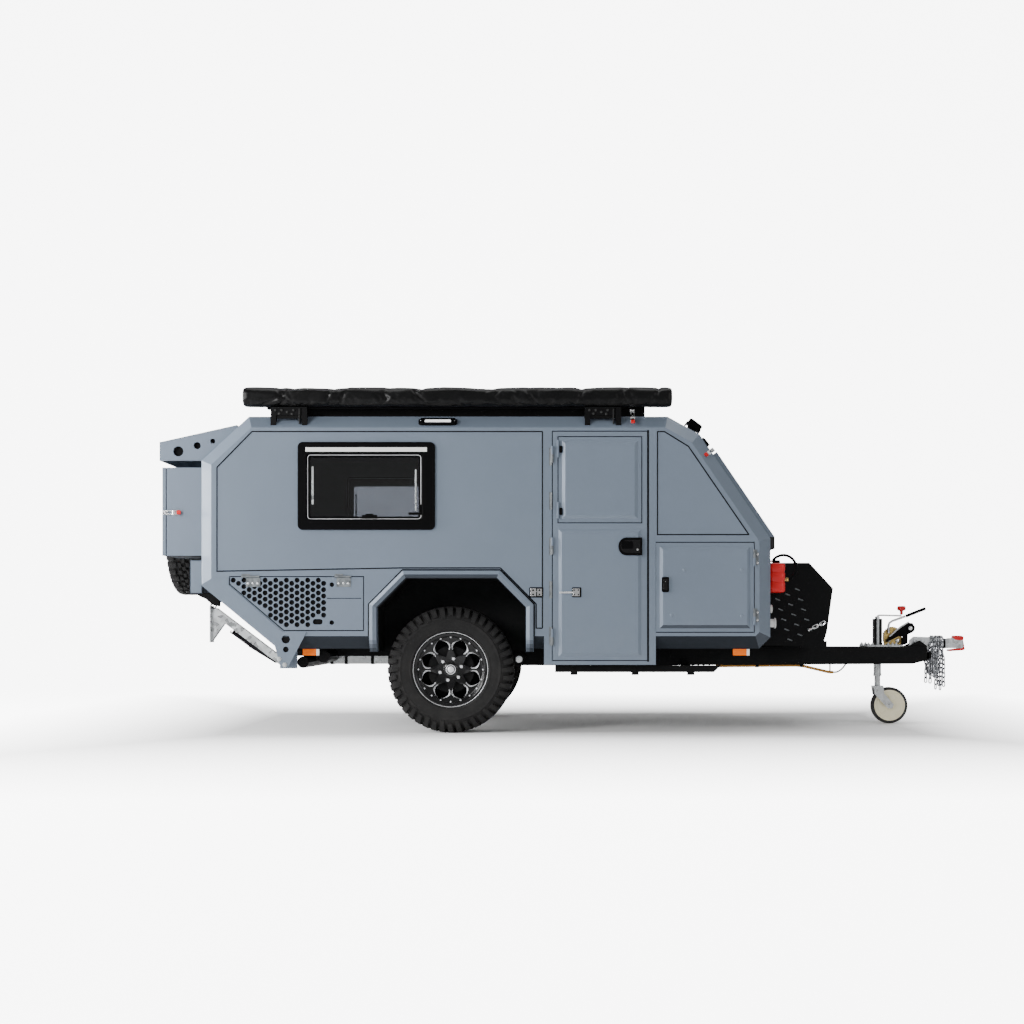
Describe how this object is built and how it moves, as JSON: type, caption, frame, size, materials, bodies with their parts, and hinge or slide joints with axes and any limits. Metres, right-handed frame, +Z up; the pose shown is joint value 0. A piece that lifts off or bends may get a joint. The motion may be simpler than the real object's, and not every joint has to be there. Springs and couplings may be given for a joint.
{
  "type": "camper trailer",
  "caption": "Off-road camper trailer with a bevelled body, side door with hatch, storage doors, awning bag, drawbar, coupling and jockey wheel.",
  "frame": {"origin": "centre of the overall box at the floor", "axes": "+X towards the coupling, +Y towards the left side, +Z up"},
  "size_m": [5.461, 2, 2.188],
  "materials": {
    "body_paint": "satin",
    "black_paint": "satin",
    "galvanised": "satin",
    "bare_steel": "bright",
    "tyre_rubber": "matt",
    "grey_rubber": "matt",
    "rim_black": "gloss",
    "tinted_glass": "polished",
    "black_plastic": "matt",
    "amber_lens": "gloss",
    "red_lens": "gloss",
    "red_plastic": "gloss",
    "yellow_plastic": "satin",
    "awning_cloth": "matt",
    "bed_cloth": "matt",
    "tank_plastic": "satin"
  },
  "bodies": {
    "trailer": {"side_rear_right": "body_paint", "side_front_right": "body_paint", "door_frame": "body_paint", "side_wall_left": "body_paint", "rear_wall": "body_paint", "roof_panel": "body_paint", "front_slope": "body_paint", "front_wall": "body_paint", "floor_pan": "black_paint", "wheel_tubs": "black_paint", "arch_flares": "body_paint", "window_frames": "black_plastic", "window_panes": "tinted_glass", "toolboxes": "body_paint", "fixed_hinges": "bare_steel", "rear_visor": "body_paint", "rear_bumper": "body_paint", "tail_lamps": "red_lens", "spare_tyre": "tyre_rubber", "spare_rim": "rim_black", "spare_carrier": "black_paint", "trailing_arms": "black_paint", "springs": "black_plastic", "chassis_frame": "black_paint", "coupling_body": "galvanised", "coupling_handle": "red_plastic", "safety_chains": "galvanised", "jockey_tube": "galvanised", "handbrake": "black_paint", "skid_plates": "body_paint", "awning_bag": "awning_cloth", "awning_brackets": "black_paint", "marker_lamps": "amber_lens", "work_lamps": "black_plastic", "front_rack": "black_paint", "fuel_can": "red_plastic", "step_rail": "black_paint", "water_tank": "tank_plastic", "conduit": "yellow_plastic", "bed": "bed_cloth"},
    "wheel_right": {"wheel_right_tyre": "tyre_rubber", "wheel_right_rim": "rim_black"},
    "wheel_left": {"wheel_left_tyre": "tyre_rubber", "wheel_left_rim": "rim_black"},
    "jockey_swivel": {"jockey_fork": "galvanised"},
    "jockey_roller": {"jockey_wheel": "grey_rubber"},
    "entry_door_leaf": {"entry_door": "body_paint", "door_handle": "black_plastic"},
    "door_hatch_leaf": {"door_hatch": "body_paint"},
    "storage_right": {"storage_door_right": "body_paint"},
    "storage_left": {"storage_door_left": "body_paint"},
    "vent_right": {"vent_hatch_right": "body_paint"},
    "vent_left": {"vent_hatch_left": "body_paint"},
    "roof_lid_leaf": {"roof_lid": "black_paint"},
    "front_lid_leaf": {"front_lid": "body_paint"},
    "toolbox_right": {"toolbox_door_right": "body_paint"},
    "toolbox_left": {"toolbox_door_left": "body_paint"},
    "leg_right": {"stabiliser_leg_right": "galvanised"},
    "leg_left": {"stabiliser_leg_left": "galvanised"}
  },
  "joints": [
    {"name": "wheel_right_spin", "type": "hinge", "parent": "trailer", "child": "wheel_right", "pos_m": [-0.7695, -0.8125, 0.4015], "axis": [0, 1, 0], "continuous": true},
    {"name": "wheel_left_spin", "type": "hinge", "parent": "trailer", "child": "wheel_left", "pos_m": [-0.7695, 0.8125, 0.4015], "axis": [0, 1, 0], "continuous": true},
    {"name": "jockey_swivel_turn", "type": "hinge", "parent": "trailer", "child": "jockey_swivel", "pos_m": [2.1305, 0, 0.33], "axis": [0, 0, 1], "continuous": true},
    {"name": "jockey_wheel_spin", "type": "hinge", "parent": "jockey_swivel", "child": "jockey_roller", "pos_m": [2.2105, 0, 0.127], "axis": [0, 1, 0], "continuous": true},
    {"name": "entry_door_swing", "type": "hinge", "parent": "trailer", "child": "entry_door_leaf", "pos_m": [-0.1245, -0.983, 1.1825], "axis": [0, 0, -1], "range_deg": [0, 165]},
    {"name": "door_hatch_swing", "type": "hinge", "parent": "entry_door_leaf", "child": "door_hatch_leaf", "pos_m": [-0.0885, -0.983, 1.5995], "axis": [0, 0, 1], "range_deg": [-160, 0]},
    {"name": "storage_right_swing", "type": "hinge", "parent": "trailer", "child": "storage_right", "pos_m": [1.1485, -0.983, 0.9215], "axis": [0, 0, 1], "range_deg": [0, 170]},
    {"name": "storage_left_swing", "type": "hinge", "parent": "trailer", "child": "storage_left", "pos_m": [1.1485, 0.983, 0.9215], "axis": [0, 0, -1], "range_deg": [0, 170]},
    {"name": "vent_right_swing", "type": "hinge", "parent": "trailer", "child": "vent_right", "pos_m": [-1.7355, -0.983, 0.989], "axis": [-1, 0, 0], "range_deg": [0, 110]},
    {"name": "vent_left_swing", "type": "hinge", "parent": "trailer", "child": "vent_left", "pos_m": [-1.7355, 0.983, 0.989], "axis": [1, 0, 0], "range_deg": [0, 110]},
    {"name": "roof_lid_swing", "type": "hinge", "parent": "trailer", "child": "roof_lid_leaf", "pos_m": [-1.8175, 0, 2.016], "axis": [0, -1, 0], "range_deg": [0, 20]},
    {"name": "front_lid_swing", "type": "hinge", "parent": "trailer", "child": "front_lid_leaf", "pos_m": [0.89807, 0, 1.78115], "axis": [0, -1, 0], "range_deg": [0, 75]},
    {"name": "toolbox_right_swing", "type": "hinge", "parent": "trailer", "child": "toolbox_right", "pos_m": [-2.5795, -0.472, 1.405], "axis": [0, 0, -1], "range_deg": [0, 95]},
    {"name": "toolbox_left_swing", "type": "hinge", "parent": "trailer", "child": "toolbox_left", "pos_m": [-2.5795, 0.472, 1.405], "axis": [0, 0, 1], "range_deg": [0, 95]},
    {"name": "leg_right_fold", "type": "hinge", "parent": "trailer", "child": "leg_right", "pos_m": [-1.8155, -0.924, 0.438], "axis": [0, -1, 0], "range_deg": [0, 77]},
    {"name": "leg_left_fold", "type": "hinge", "parent": "trailer", "child": "leg_left", "pos_m": [-1.8155, 0.924, 0.438], "axis": [0, -1, 0], "range_deg": [0, 77]}
  ]
}
